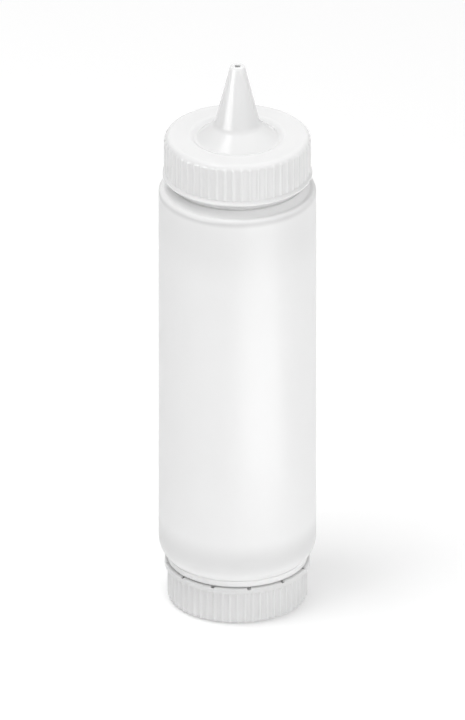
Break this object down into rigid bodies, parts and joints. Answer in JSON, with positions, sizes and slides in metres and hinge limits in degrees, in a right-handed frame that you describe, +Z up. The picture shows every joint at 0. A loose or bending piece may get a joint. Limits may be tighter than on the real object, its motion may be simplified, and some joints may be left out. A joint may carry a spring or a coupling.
{
  "type": "dual-ended squeeze bottle",
  "caption": "Straight squeeze bottle for sauces with a ribbed cone-tip nozzle cap on top and a ribbed flat refill cap below as its foot, both screwed on.",
  "frame": {"origin": "centre of the foot, on the surface the bottle stands on", "axes": "+Z up along the bottle's axis, through the nozzle; the bottle is round, so X and Y are free"},
  "size_m": [0.07, 0.07, 0.2626],
  "materials": {
    "bottle_plastic": "satin, natural translucent polyethylene",
    "nozzle_cap_plastic": "natural translucent polyethylene, satin skirt and polished cone",
    "refill_cap_plastic": "satin, natural translucent polyethylene",
    "gasket_silicone": "matte white silicone"
  },
  "bodies": {
    "bottle": {"bottle_body": "bottle_plastic"},
    "nozzle_seal": {"nozzle_cap_gasket": "gasket_silicone"},
    "nozzle": {"nozzle_cap": "nozzle_cap_plastic"},
    "refill_seal": {"refill_cap_gasket": "gasket_silicone"},
    "refill": {"refill_cap": "refill_cap_plastic"}
  },
  "joints": [
    {"name": "nozzle_cap_turn", "type": "hinge", "parent": "nozzle_seal", "child": "nozzle", "pos_m": [0, 0, 0.219], "axis": [0, 0, 1], "range_deg": [0, 1530]},
    {"name": "nozzle_cap_rise", "type": "slide", "parent": "bottle", "child": "nozzle_seal", "axis": [0, 0, 1], "range_m": [0, 0.01785]},
    {"name": "refill_cap_turn", "type": "hinge", "parent": "refill_seal", "child": "refill", "pos_m": [0, 0, 0.009], "axis": [0, 0, -1], "range_deg": [0, 1530]},
    {"name": "refill_cap_drop", "type": "slide", "parent": "bottle", "child": "refill_seal", "axis": [0, 0, -1], "range_m": [0, 0.01785]}
  ],
  "couplings": [
    {"joint": "nozzle_cap_rise", "follows": "nozzle_cap_turn", "m_per_rad": 0.00066845},
    {"joint": "refill_cap_drop", "follows": "refill_cap_turn", "m_per_rad": 0.00066845}
  ]
}
